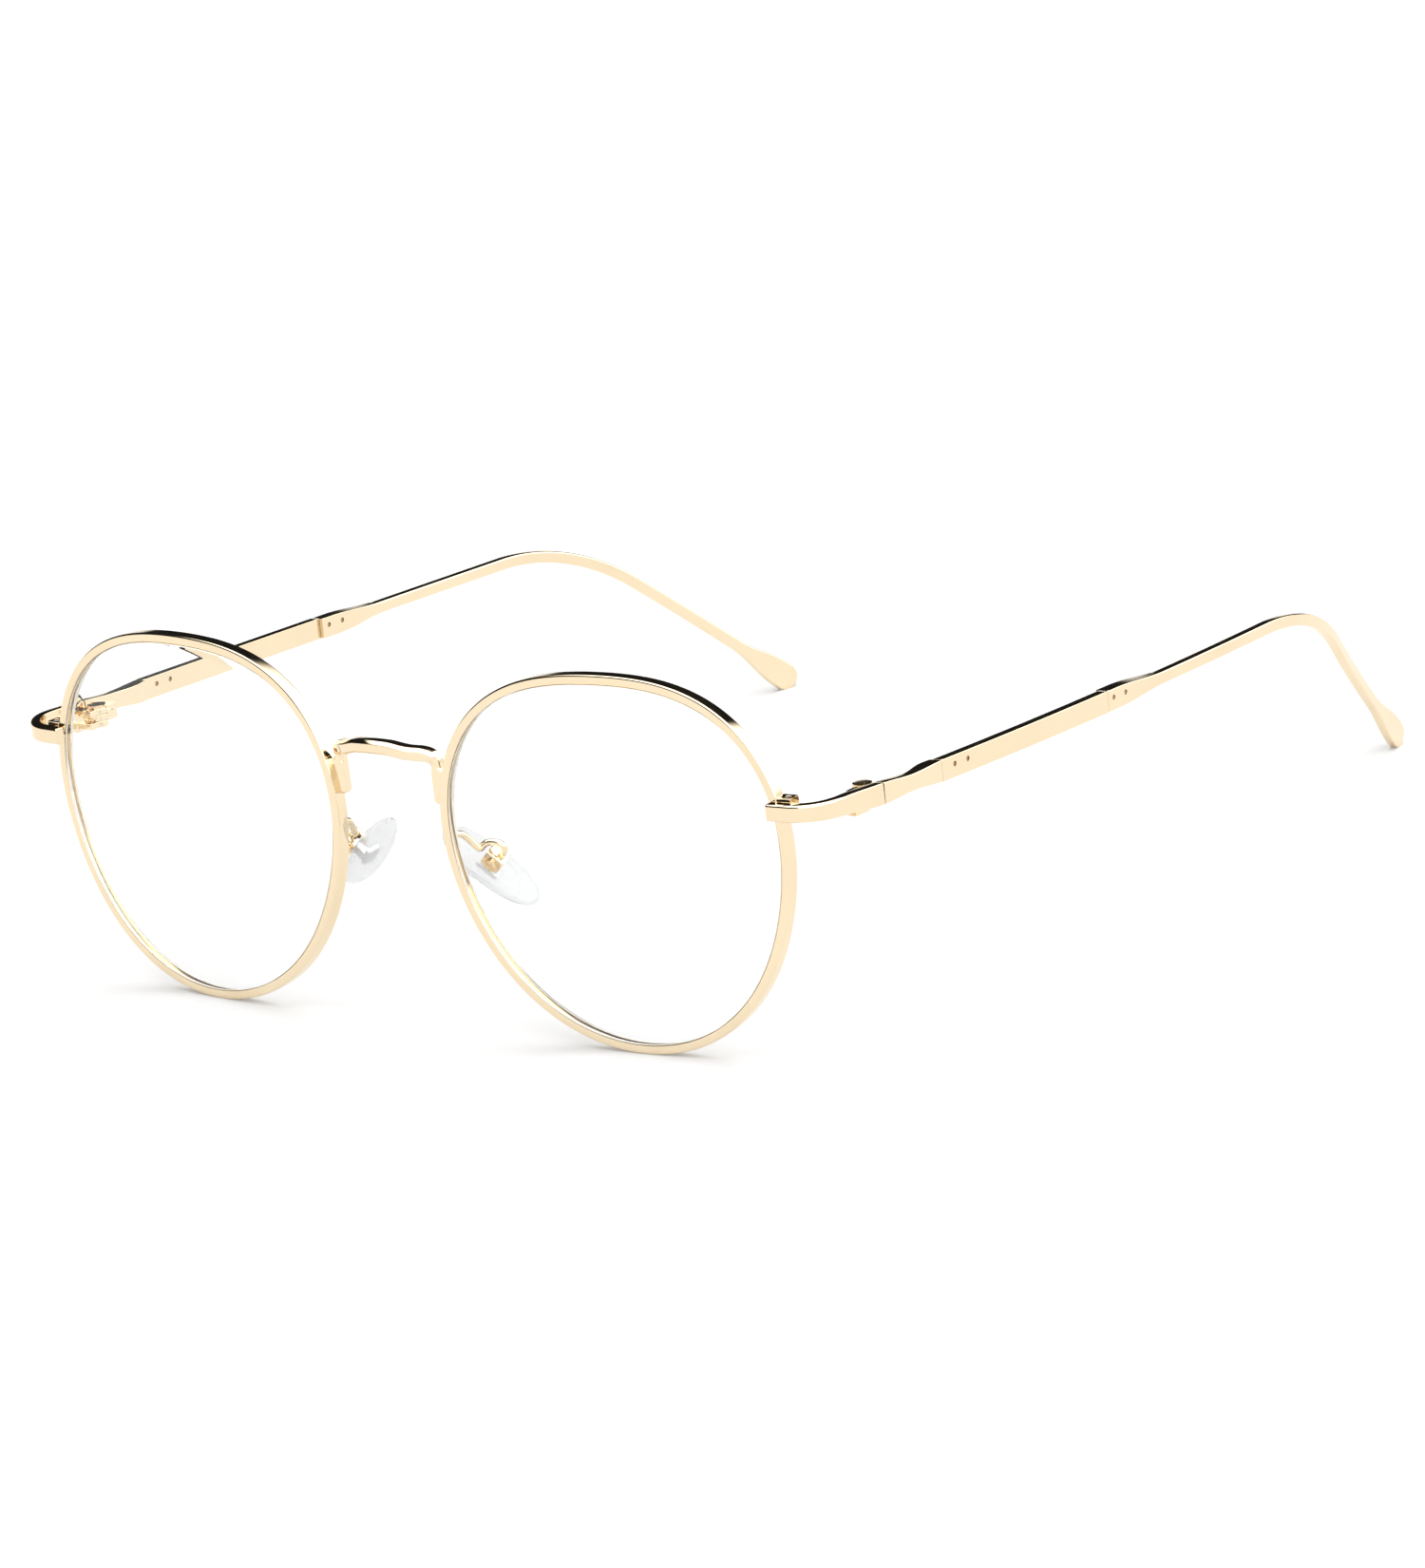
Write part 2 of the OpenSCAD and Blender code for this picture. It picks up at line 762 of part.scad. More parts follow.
module pad_insert(side) {
    color("#c9ccd0") on_side(side) pad_frame() difference() {
        union() {
            insert_plate(0);
            translate([-0.1, pivot_y - lug_t / 2, -lug_r])
                cube([pivot_x + 0.1, lug_t, 2 * lug_r]);
            translate([pivot_x, pivot_y + lug_t / 2, 0])
                rotate([90, 0, 0])
                cylinder(h = lug_t, r = lug_r, $fn = 32);
        }
        translate([pivot_x, pivot_y + 2, 0])
            rotate([90, 0, 0])
            cylinder(h = 4, r = pad_screw_d / 2 + 0.05, $fn = 32);
    }
}

module pad_box(side) {
    color(gold) on_side(side) pad_frame() difference() {
        translate([box_front, pivot_y - box_half_y, -box_half_z])
            cube([box_back - box_front, 2 * box_half_y, 2 * box_half_z]);
        translate([box_front - 1, pivot_y - lug_t / 2 - 0.08, -3])
            cube([pivot_x + lug_r + 0.12 - box_front + 1, lug_t + 0.16, 6]);
        translate([pivot_x, pivot_y + 3, 0])
            rotate([90, 0, 0])
            cylinder(h = 6, r = pad_screw_d / 2 + 0.01, $fn = 32);
    }
}

module pad_screw(side) {
    head_h = 0.4;
    length = 2 * box_half_y;
    color("#d9c08c") on_side(side) pad_frame() translate([pivot_x, pivot_y + box_half_y, 0])
        rotate([90, 0, 0])
        difference() {
            union() {
                cylinder(h = length + small, d = pad_screw_d, $fn = 32);
                translate([0, 0, length + small])
                    cylinder(h = head_h, d = 1.5, $fn = 32);
            }
            translate([-1, -slot_w / 2, length + head_h - slot_depth + small])
                cube([2, slot_w, 1]);
        }
}

// Place of a point given in the pad's frame.
function pad_place(v) =
    let (
        swept = [
            v[0],
            v[1] * cos(pad_sweep) - v[2] * sin(pad_sweep),
            v[1] * sin(pad_sweep) + v[2] * cos(pad_sweep)
        ],
        splayed = [
            swept[0] * cos(pad_splay) + swept[1] * sin(pad_splay),
            swept[1] * cos(pad_splay) - swept[0] * sin(pad_splay),
            swept[2]
        ]
    )
    pad_centre + [
        splayed[0] * cos(pad_lean) - splayed[2] * sin(pad_lean),
        splayed[1],
        splayed[0] * sin(pad_lean) + splayed[2] * cos(pad_lean)
    ];

// Wire that leaves the back of the rim, dips beside the box and loops into its back wall.
module pad_arm(side) {
    rim_end = [9.3, -1.1, 26.4];
    low = [2.5, -1.2, 2.2];
    over = [1.1, 0.6, 0.25];
    wall = box_back + solder_gap;
    path = concat(
        [
            for (t = [0 : 0.125 : 0.875])
                curve_point(
                    rim_end, rim_end + [0.3, 1.5, 0.5], pad_place(low - 0.9 * over), pad_place(low), t
                )
        ],
        [
            for (t = [0 : 0.1 : 0.9])
                curve_point(
                    pad_place(low), pad_place(low + over), pad_place([wall + 2.5, pivot_y, -0.3]),
                    pad_place([wall + 0.3, pivot_y, -0.4]), t
                )
        ],
        [pad_place([wall + 0.3, pivot_y, -0.4]), pad_place([wall, pivot_y, -0.4])]
    );
    section = [for (a = [0 : 45 : 315]) arm_d / 2 * [cos(a), sin(a)]];
    color(gold) on_side(side) skin(tube_rings(path, section), whole(8));
}

// ---- assembly ------------------------------------------------------------

rim(left);  // left_rim
rim(right);  // right_rim
lens(left);  // left_lens
lens(right);  // right_lens
bridge();
lock_upper(left);  // left_lock_upper
lock_upper(right);  // right_lock_upper
lock_lower(left);  // left_lock_lower
lock_lower(right);  // right_lock_lower
lock_screw(left);  // left_lock_screw
lock_screw(right);  // right_lock_screw
end_piece(left);  // left_end_piece
end_piece(right);  // right_end_piece
hinge_front(left);  // left_hinge_front
hinge_front(right);  // right_hinge_front
hinge_rear(left);  // left_hinge_rear
hinge_rear(right);  // right_hinge_rear
hinge_screw(left);  // left_hinge_screw
hinge_screw(right);  // right_hinge_screw
temple_root(left);  // left_temple_root
temple_root(right);  // right_temple_root
temple_blade(left);  // left_temple_blade
temple_blade(right);  // right_temple_blade
temple_tail(left);  // left_temple_tail
temple_tail(right);  // right_temple_tail
temple_pins(left);  // left_temple_pins
temple_pins(right);  // right_temple_pins
pad_arm(left);  // left_pad_arm
pad_arm(right);  // right_pad_arm
pad_box(left);  // left_pad_box
pad_box(right);  // right_pad_box
pad_screw(left);  // left_pad_screw
pad_screw(right);  // right_pad_screw
pad_insert(left);  // left_pad_insert
pad_insert(right);  // right_pad_insert
nose_pad(left);  // left_nose_pad
nose_pad(right);  // right_nose_pad
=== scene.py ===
import json
import math

import bmesh
import bpy
from mathutils import Matrix, Vector


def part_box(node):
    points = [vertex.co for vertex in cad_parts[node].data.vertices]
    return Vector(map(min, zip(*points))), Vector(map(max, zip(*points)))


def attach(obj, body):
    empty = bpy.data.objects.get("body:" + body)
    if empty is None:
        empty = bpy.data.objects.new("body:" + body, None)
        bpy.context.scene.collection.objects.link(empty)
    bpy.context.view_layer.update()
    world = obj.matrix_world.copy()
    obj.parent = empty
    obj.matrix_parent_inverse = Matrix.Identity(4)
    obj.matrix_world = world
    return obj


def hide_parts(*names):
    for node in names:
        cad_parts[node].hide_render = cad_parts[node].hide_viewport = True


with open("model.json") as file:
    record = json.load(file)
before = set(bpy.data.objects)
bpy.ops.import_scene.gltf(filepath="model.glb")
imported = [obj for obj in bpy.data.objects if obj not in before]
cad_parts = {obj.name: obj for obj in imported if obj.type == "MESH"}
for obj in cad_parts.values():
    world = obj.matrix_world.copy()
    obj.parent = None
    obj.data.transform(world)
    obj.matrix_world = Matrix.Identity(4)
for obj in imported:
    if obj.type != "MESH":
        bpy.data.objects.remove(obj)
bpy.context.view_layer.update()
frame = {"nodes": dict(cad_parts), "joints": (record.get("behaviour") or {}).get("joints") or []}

MM = 0.001
LEFT, RIGHT = 1, -1
SIDE_NAME = {LEFT: "left", RIGHT: "right"}

# Sizes are in millimetres on the wearer's left side, with y measured from the rims' middle plane.
# The right side is the mirror image.
SPLAY = math.radians(1.1)
WRAP = math.radians(4.8)
# Where the end piece meets the temple, on the strip's middle line, and the hinge axis beside it.
JOINT = Vector((66.7, 13.0, 32.66))
AXIS_X = 63.9
FOLD = next(joint for joint in frame["joints"] if joint["name"] == "left_temple_fold")
PLANE_Y = FOLD["pos_m"][1] / MM - (JOINT.y + (JOINT.x - AXIS_X) * math.sin(SPLAY))
# Middle of a rim's outline. The outline reaches a little lower than it reaches up.
RIM_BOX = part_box("left_rim")
RIM_LIFT = 0.91
RIM_X = 34.8
RIM_Z = (RIM_BOX[1].z + RIM_BOX[0].z) / 2 / MM + RIM_LIFT
# How far the outer face of strips and temples lies outside their middle line.
FACE = 0.6


# ---- mesh helpers -----------------------------------------------------------

def make(name, verts, faces, side, body, material, stands_for):
    """A smooth-shaded piece from points in millimetres on the left side; the right one is mirrored."""
    points = [Vector((side * v[0] * MM, (v[1] + PLANE_Y) * MM, v[2] * MM)) for v in verts]
    if side < 0:
        faces = [tuple(reversed(f)) for f in faces]
    mesh = bpy.data.meshes.new(name)
    mesh.from_pydata(points, [], faces)
    mesh.validate()
    built = bmesh.new()
    built.from_mesh(mesh)
    bmesh.ops.remove_doubles(built, verts=built.verts, dist=1e-7)
    bmesh.ops.recalc_face_normals(built, faces=built.faces)
    built.to_mesh(mesh)
    built.free()
    mesh.polygons.foreach_set("use_smooth", [True] * len(mesh.polygons))
    piece = bpy.data.objects.new(name, mesh)
    bpy.context.scene.collection.objects.link(piece)
    mesh.materials.append(material)
    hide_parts(stands_for)
    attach(piece, body)
    return piece


def add_modifier(piece, kind, **settings):
    modifier = piece.modifiers.new(kind.lower(), kind)
    for key, value in settings.items():
        setattr(modifier, key, value)
    return modifier


def even_normals(piece):
    """Keeps flat faces looking flat next to their rounded edges."""
    add_modifier(piece, "WEIGHTED_NORMAL", mode="FACE_AREA", weight=60, keep_sharp=True)


def skin(rings, closed=False, caps=True):
    """Quads between rings of points; caps close the two ends."""
    count, verts, faces = len(rings[0]), [p for ring in rings for p in ring], []
    steps = len(rings) if closed else len(rings) - 1
    for i in range(steps):
        a, b = i * count, (i + 1) % len(rings) * count
        for j in range(count):
            k = (j + 1) % count
            faces.append((a + j, a + k, b + k, b + j))
    if caps and not closed:
        faces.append(tuple(reversed(range(count))))
        faces.append(tuple((len(rings) - 1) * count + j for j in range(count)))
    return verts, faces


def fillet(corners, steps=4):
    """Outline with each corner (x, y, radius) rounded."""
    points = []
    for i, (x, y, radius) in enumerate(corners):
        here = Vector((x, y))
        back = (Vector(corners[i - 1][:2]) - here).normalized()
        ahead = (Vector(corners[(i + 1) % len(corners)][:2]) - here).normalized()
        angle = back.angle(ahead)
        if radius <= 0 or angle > math.pi - 0.01:
            points.append(here)
            continue
        start = here + back * radius / math.tan(angle / 2)
        centre = here + (back + ahead).normalized() * radius / math.sin(angle / 2)
        first = math.atan2(start.y - centre.y, start.x - centre.x)
        end = here + ahead * radius / math.tan(angle / 2)
        sweep = math.atan2(end.y - centre.y, end.x - centre.x) - first
        sweep = (sweep + math.pi) % (2 * math.pi) - math.pi
        for k in range(steps + 1):
            a = first + sweep * k / steps
            points.append(centre + radius * Vector((math.cos(a), math.sin(a))))
    return points


def bar_section(inner, outer, half_h, round_in, round_out):
    """Bar from -inner to outer across and half_h up and down, rounded less on its inner side."""
    return fillet([
        (-inner, -half_h, round_in), (outer, -half_h, round_out),
        (outer, half_h, round_out), (-inner, half_h, round_in),
    ], 5)


def place(section, at, across, up):
    """Points of a flat section set into space."""
    return [at + q[0] * across + q[1] * up for q in section]


def clamp(x, low=0.0, high=1.0):
    return max(low, min(high, x))


def rise(x, a, b):
    """Smooth step from 0 at a to 1 at b."""
    t = clamp((x - a) / (b - a))
    return t * t * (3 - 2 * t)


def bump(x, middle, reach):
    """Smooth hill of height 1 at the middle, 0 beyond its reach."""
    return rise(reach - abs(x - middle), 0, reach)


def bezier(a, b, c, d, t):
    """Point at t on the curve that starts at a towards b and ends at d from c."""
    return (1 - t) ** 3 * a + 3 * t * (1 - t) ** 2 * b + 3 * t * t * (1 - t) * c + t ** 3 * d


def spaced(low, high, step):
    """Even values from low to high, about one step apart."""
    count = max(1, round((high - low) / step))
    return [low + (high - low) * i / count for i in range(count + 1)]


# ---- materials ----------------------------------------------------------------

# Most of a noise texture's values lie between these two.
NOISE_LOW, NOISE_HIGH = 0.3, 0.7


def node_material(name):
    material = bpy.data.materials.new(name)
    material.use_nodes = True
    nodes, links = material.node_tree.nodes, material.node_tree.links
    return material, nodes, links, nodes["Principled BSDF"]


def noise(nodes, links, scale, detail):
    coordinates = nodes.new("ShaderNodeTexCoord")
    texture = nodes.new("ShaderNodeTexNoise")
    texture.inputs["Scale"].default_value = scale
    texture.inputs["Detail"].default_value = detail
    links.new(coordinates.outputs["Object"], texture.inputs["Vector"])
    return texture


def tint(nodes, links, source, low, high, shader):
    """Base colour that drifts between two tones."""
    made = nodes.new("ShaderNodeValToRGB")
    for element, position, color in zip(made.color_ramp.elements, (NOISE_LOW, NOISE_HIGH), (low, high)):
        element.position = position
        element.color = (*color, 1)
    links.new(source.outputs["Fac"], made.inputs["Fac"])
    links.new(made.outputs["Color"], shader.inputs["Base Color"])


def gloss_range(nodes, links, source, low, high, shader):
    """Roughness that drifts between two values."""
    made = nodes.new("ShaderNodeMapRange")
    made.inputs["From Min"].default_value, made.inputs["From Max"].default_value = NOISE_LOW, NOISE_HIGH
    made.inputs["To Min"].default_value, made.inputs["To Max"].default_value = low, high
    links.new(source.outputs["Fac"], made.inputs["Value"])
    links.new(made.outputs["Result"], shader.inputs["Roughness"])


def relief(nodes, links, source, strength, distance, shader):
    made = nodes.new("ShaderNodeBump")
    made.inputs["Strength"].default_value = strength
    made.inputs["Distance"].default_value = distance * MM
    links.new(source.outputs["Fac"], made.inputs["Height"])
    links.new(made.outputs["Normal"], shader.inputs["Normal"])


def metal(name, low, high, rough_low, rough_high, strength=0.05):
    """Polished plating: slight drift of tone, patches of softer gloss, fine ripple."""
    material, nodes, links, shader = node_material(name)
    shader.inputs["Metallic"].default_value = 1.0
    tint(nodes, links, noise(nodes, links, 90, 2), low, high, shader)
    gloss_range(nodes, links, noise(nodes, links, 420, 4), rough_low, rough_high, shader)
    relief(nodes, links, noise(nodes, links, 700, 2), strength, 0.02, shader)
    return material


GOLD = metal("champagne_gold", (0.84, 0.69, 0.475), (0.87, 0.725, 0.51), 0.05, 0.12)
SCREW = metal("screw_gold", (0.8, 0.6, 0.36), (0.88, 0.68, 0.44), 0.12, 0.24, 0.1)
# Pins coloured dark brown: painted shade of the recesses round them in their holes.
SHADED_PIN = metal("pin_brass_painted_shade", (0.3, 0.18, 0.09), (0.42, 0.27, 0.15), 0.3, 0.5, 0.2)
STEEL = metal("satin_steel", (0.68, 0.68, 0.69), (0.8, 0.8, 0.8), 0.25, 0.4, 0.15)


def make_silicone():
    """Clear silicone with a fine matt skin."""
    material, nodes, links, shader = node_material("frosted_silicone")
    skin_noise = noise(nodes, links, 1500, 3)
    tint(nodes, links, noise(nodes, links, 160, 3), (0.76, 0.765, 0.775), (0.8, 0.805, 0.81), shader)
    gloss_range(nodes, links, skin_noise, 0.26, 0.4, shader)
    relief(nodes, links, skin_noise, 0.08, 0.03, shader)
    shader.inputs["Transmission Weight"].default_value = 0.88
    shader.inputs["IOR"].default_value = 1.04
    shader.inputs["Coat Weight"].default_value = 0.15
    return material


def make_glass():
    """Thin clear lens: it hardly bends the view behind it, and its coating gives the gloss."""
    material, nodes, links, shader = node_material("clear_lens")
    tint(nodes, links, noise(nodes, links, 60, 2), (0.985, 0.995, 0.99), (1, 1, 1), shader)
    shader.inputs["Roughness"].default_value = 0.0
    shader.inputs["Transmission Weight"].default_value = 1.0
    shader.inputs["IOR"].default_value = 1.06
    shader.inputs["Coat Weight"].default_value = 0.6
    shader.inputs["Coat Roughness"].default_value = 0.02
    return material


def make_ground_edge():
    """Fine-ground edge of the lens, which looks pale inside the wire."""
    material, nodes, links, shader = node_material("ground_lens_edge")
    grain = noise(nodes, links, 900, 3)
    tint(nodes, links, grain, (0.86, 0.82, 0.74), (0.92, 0.89, 0.82), shader)
    shader.inputs["Roughness"].default_value = 0.6
    relief(nodes, links, grain, 0.2, 0.02, shader)
    return material


SILICONE = make_silicone()
GLASS = make_glass()
GROUND = make_ground_edge()


# ---- rims and lenses ----------------------------------------------------------

RIM_RINGS = 360
LENS_CURVE, LENS_THICK = 130.0, 1.6
# Angle of the split in a rim, beside the end piece.
LOCK = math.radians(18.3)


def rim_r(a):
    """Radius of a rim's middle line at an angle: a circle drawn out at the top."""
    return (
        25 + 0.7 * math.cos(2 * a) - 0.19 * math.sin(2 * a) - 0.19 * math.cos(3 * a)
        + 0.9 * math.sin(3 * a) - 0.34 * math.cos(4 * a)
    )


def rim_point(a):
    return rim_r(a) * Vector((math.cos(a), 0, math.sin(a)))


def rim_out(a):
    """Direction square to the wire, outwards in the rim's plane."""
    along = (rim_point(a + 0.01) - rim_point(a - 0.01)).normalized()
    return Vector((along.z, 0, -along.x))


def to_rim(points):
    """Sets a rim's own points into place, turned by the front's wrap."""
    turn = Matrix.Rotation(WRAP, 3, "Z")
    return [turn @ Vector(p) + Vector((RIM_X, 0, RIM_Z)) for p in points]


def rim(side):
    """Wire with a groove inside, one turn from one side of the split to the other."""
    half_w, half_d, groove_w, groove_d, floor_w = 0.6, 0.95, 0.4, 0.28, 0.12
    section = fillet([
        (half_w, -half_d, 0.26), (half_w, half_d, 0.26), (-half_w, half_d, 0.22),
        (-half_w, groove_w, 0.05), (-floor_w, groove_d, 0.05), (-floor_w, -groove_d, 0.05),
        (-half_w, -groove_w, 0.05), (-half_w, -half_d, 0.1),
    ], 4)
    gap, rings = math.radians(0.35), []
    for i in range(RIM_RINGS + 1):
        a = LOCK + gap + (2 * math.pi - 2 * gap) * i / RIM_RINGS
        rings.append(place(section, rim_point(a), rim_out(a), Vector((0, 1, 0))))
    verts, faces = skin(rings)
    name = SIDE_NAME[side]
    piece = make(f"{name}_rim_wire", to_rim(verts), faces, side, "front", GOLD, f"{name}_rim")
    even_normals(piece)


def lens(side):
    """Curved lens with a tongue round its edge, ground where it meets the wire."""
    rest = 25.2
    centre_y = math.sqrt((LENS_CURVE - LENS_THICK / 2) ** 2 - rest ** 2)
    around, radial = 240, 26
    edge, tongue = 0.66, 0.2

    def ring(inset, y_of):
        points = []
        for i in range(around):
            a = 2 * math.pi * i / around
            p = rim_point(a) - inset * rim_out(a)
            points.append(Vector((p.x, y_of(p), p.z)))
        return points

    def front(p):
        return centre_y - math.sqrt(LENS_CURVE ** 2 - p.x ** 2 - p.z ** 2)

    def back(p):
        return centre_y - math.sqrt((LENS_CURVE - LENS_THICK) ** 2 - p.x ** 2 - p.z ** 2)

    def disc(y_of):
        """Rings of one lens surface, from its edge to its middle."""
        outer = ring(edge, y_of)
        shares = [k / radial for k in range(radial, 0, -1)]
        return [[Vector((p.x * share, y_of(p * share), p.z * share)) for p in outer] for share in shares]

    rings = disc(front)[::-1]
    for inset, y in ((edge, -0.3), (tongue + 0.05, -0.28), (tongue, -0.2)):
        rings.append(ring(inset, lambda p: y))
    for inset, y in ((tongue, 0.2), (tongue + 0.05, 0.28), (edge, 0.3)):
        rings.append(ring(inset, lambda p: y))
    rings += disc(back)
    verts, faces = skin(rings, caps=False)
    first, last = len(verts), len(verts) + 1
    middle = Vector((0, 0, 0))
    verts += [Vector((0, front(middle), 0)), Vector((0, back(middle), 0))]
    base = (len(rings) - 1) * around
    for j in range(around):
        k = (j + 1) % around
        faces.append((first, k, j))
        faces.append((last, base + j, base + k))
    name = SIDE_NAME[side]
    piece = make(f"{name}_clear_lens", to_rim(verts), faces, side, "front", GLASS, f"{name}_lens")
    piece.data.materials.append(GROUND)
    upright = Matrix.Rotation(-side * WRAP, 3, "Z")
    for polygon in piece.data.polygons:
        if abs((upright @ polygon.normal).y) < 0.7:
            polygon.material_index = 1
            polygon.use_smooth = False


# ---- bridge ---------------------------------------------------------------------

BAR_HALF = 8.0
BAR_END = Vector((0, -2.0, 36.95))
BAR_RISE, BAR_BOW, BAR_DIP = 1.4, 2.7, 0.22
BAR_SIZE = 0.85
TAB_TOP = Vector((8.1, -1.75, 35.4))
TAB_HALF, TAB_LOW, TAB_ROOT, TAB_INNER = 0.6, 30.68, 34.6, 7.38


def bar_point(x):
    """Middle line of the bar: arched up and forwards, with a slight dip at the shoulders."""
    arch = 1 - (x / BAR_HALF) ** 2
    return Vector((
        x, BAR_END.y - BAR_BOW * arch, BAR_END.z + BAR_RISE * arch - BAR_DIP * bump(abs(x), 5.0, 2.6),
    ))


def rim_side(z):
    """The x of the rim's nose side at a height, at the tab's back."""
    skin_at, back_at = 0.63, 0.92
    a = math.pi
    for _ in range(30):
        p = rim_point(a) + skin_at * rim_out(a)
        a += (RIM_Z + p.z - z) * 0.03
    return to_rim([rim_point(a) + skin_at * rim_out(a) + Vector((0, back_at, 0))])[0].x


def bridge_stations():
    """Middle, half width, half depth and edge size along the bridge, from the left tab to the right one."""
    into_rim = 0.3
    stations = []
    for z in spaced(TAB_LOW, TAB_ROOT, 0.2):
        outer = rim_side(z) + into_rim
        inner = TAB_INNER + 0.4 * (1 - rise(z, TAB_LOW - 0.4, TAB_LOW + 0.5))
        middle = Vector(((inner + outer) / 2, TAB_TOP.y, z))
        stations.append((middle, (outer - inner) / 2, TAB_HALF, 0.16))
    start = stations[-1][0]
    for t in spaced(0, 1, 0.25)[1:]:
        wide = stations[-1][1] * (1 - t) + 0.72 * t
        stations.append((start.lerp(TAB_TOP, t), wide, TAB_HALF + 0.02 * t, 0.16 + 0.08 * t))
    corner = (TAB_TOP, TAB_TOP + Vector((0, 0, 1.2)), bar_point(BAR_HALF - 0.4), bar_point(BAR_HALF - 1.5))
    for t in spaced(0, 1, 0.06)[1:]:
        stations.append((bezier(*corner, t), 0.72 + 0.13 * t, 0.62 + 0.23 * t, 0.24 + 0.02 * t))
    for i in range(1, 33):
        stations.append((bar_point(BAR_HALF - 1.5 - 0.2 * i), BAR_SIZE, BAR_SIZE, 0.26))
    stations.append((bar_point(0), BAR_SIZE, BAR_SIZE, 0.26))
    mirrored = [(Vector((-p.x, p.y, p.z)), wide, deep, size) for p, wide, deep, size in stations[-2::-1]]
    return stations + mirrored


def bridge():
    """One bar with chamfered front edges that turns down into a flat tab at each rim."""
    stations = bridge_stations()
    rings, last = [], len(stations) - 1
    for i, (p, wide, deep, size) in enumerate(stations):
        along = (stations[min(i + 1, last)][0] - stations[max(i - 1, 0)][0]).normalized()
        depth = (Vector((0, 1, 0)) - along.y * along).normalized()
        width = along.cross(depth)
        if p.z < TAB_TOP.z:
            width = Vector((math.copysign(1, width.x), 0, 0))
        if i in (0, last):
            wide, deep = wide - 0.1, deep - 0.1
        upper = 0.36 * clamp((size - 0.16) / 0.1) + 0.04
        lower = 0.6 * upper
        section = fillet([
            (-deep + upper, -wide, 0.1), (deep, -wide, 0.1), (deep, wide, 0.1),
            (-deep + lower, wide, 0.06), (-deep, wide - lower, 0.06), (-deep, -wide + upper, 0.1),
        ], 3)
        rings.append(place(section, p, depth, width))
    verts, faces = skin(rings)
    piece = make("bridge_bar", verts, faces, LEFT, "front", GOLD, "bridge")
    even_normals(piece)


# ---- end pieces -------------------------------------------------------------------

FRONT_RUN = Vector((math.cos(WRAP), math.sin(WRAP), 0))
SIDE_RUN = Vector((math.sin(SPLAY), math.cos(SPLAY), 0))


STRIP_THICK, STRIP_FRONT_Y, STRIP_START_X, STRIP_START_Z = 1.35, -1.73, 59.0, 33.32
STRIP_BEND = 5.3


def strip_line_y(x):
    """The y of the strip's front run at an x, along the rim's wrap."""
    return STRIP_FRONT_Y / math.cos(WRAP) + (x - RIM_X) * math.tan(WRAP)


def strip_ring(plan, along, t, inset=0.0):
    """Cross-section at a place in plan; t goes from 0 at the rim to 1 at the hinge."""
    height = 2.2 + 0.6 * rise(t, 0.2, 1)
    z = STRIP_START_Z + (JOINT.z - STRIP_START_Z) * rise(t, 0.45, 1.1) / rise(1, 0.45, 1.1)
    out = Vector((along.y, -along.x, 0))
    bevel = 0.34 - 0.16 * rise(t, 0.3, 0.8)
    section = bar_section(
        STRIP_THICK - FACE - inset, FACE - inset, height / 2 - inset, 0.1 - inset * 0.4, bevel - inset * 0.5,
    )
    return place(section, Vector((plan.x, plan.y, z)), out, Vector((0, 0, 1)))


def end_piece(side):
    """Strip along the rim, round the corner and straight to the hinge."""
    turn = math.pi / 2 - WRAP - SPLAY
    corner_x = JOINT.x - (JOINT.y - 1.2) * math.tan(SPLAY)
    corner = Vector((corner_x, strip_line_y(corner_x), 0))
    arc_start = corner - STRIP_BEND * math.tan(turn / 2) * FRONT_RUN
    centre = arc_start + STRIP_BEND * Vector((-math.sin(WRAP), math.cos(WRAP), 0))
    arc_end = centre + STRIP_BEND * Vector((SIDE_RUN.y, -SIDE_RUN.x, 0))
    start = Vector((STRIP_START_X, strip_line_y(STRIP_START_X), 0))
    finish = Vector((JOINT.x, JOINT.y, 0)) - 0.05 * SIDE_RUN
    stations = [(start.lerp(arc_start, t), FRONT_RUN, 0.15 * t) for t in spaced(0, 1, 0.1)]
    for t in spaced(0, 1, 0.03)[1:]:
        a = WRAP + t * turn
        on_arc = centre + STRIP_BEND * Vector((math.sin(a), -math.cos(a), 0))
        stations.append((on_arc, Vector((math.cos(a), math.sin(a), 0)), 0.15 + 0.4 * t))
    for t in spaced(0, 1, 0.05)[1:]:
        stations.append((arc_end.lerp(finish, t), SIDE_RUN, 0.55 + 0.45 * t))
    rings = [
        strip_ring(start, FRONT_RUN, 0, 0.12), strip_ring(start + 0.035 * FRONT_RUN, FRONT_RUN, 0, 0.035),
        strip_ring(start + 0.12 * FRONT_RUN, FRONT_RUN, 0),
    ]
    rings += [strip_ring(*station) for station in stations[1:-1]]
    rings += [
        strip_ring(finish - 0.08 * SIDE_RUN, SIDE_RUN, 1),
        strip_ring(finish - 0.025 * SIDE_RUN, SIDE_RUN, 1, 0.025), strip_ring(finish, SIDE_RUN, 1, 0.08),
    ]
    verts, faces = skin(rings)
    name = SIDE_NAME[side]
    piece = make(f"{name}_end_strip", verts, faces, side, "front", GOLD, f"{name}_end_piece")
    even_normals(piece)


# ---- temples ------------------------------------------------------------------------

# Distances s run along the temple from the joint with the end piece.
BEND_AT, BEND_LEN, TAIL_LEN = 85.2, 25.3, 32.4
TOTAL = BEND_AT + BEND_LEN + TAIL_LEN
ROOT_LEN, BLADE_END = 11.6, 47.2
PINS = (14.2, 16.9, 48.5, 51.2)
PIN_HOLE, PIN_HEIGHT = 0.33, 0.3
SPOON, TIP_LEN = TOTAL - 12.5, 3.2
PLATE_H, WIRE_H, SPOON_H = 2.8, 1.65, 3.9
# The tip rests on the table and doesn't reach below it.
TIP_LOW = 0.03
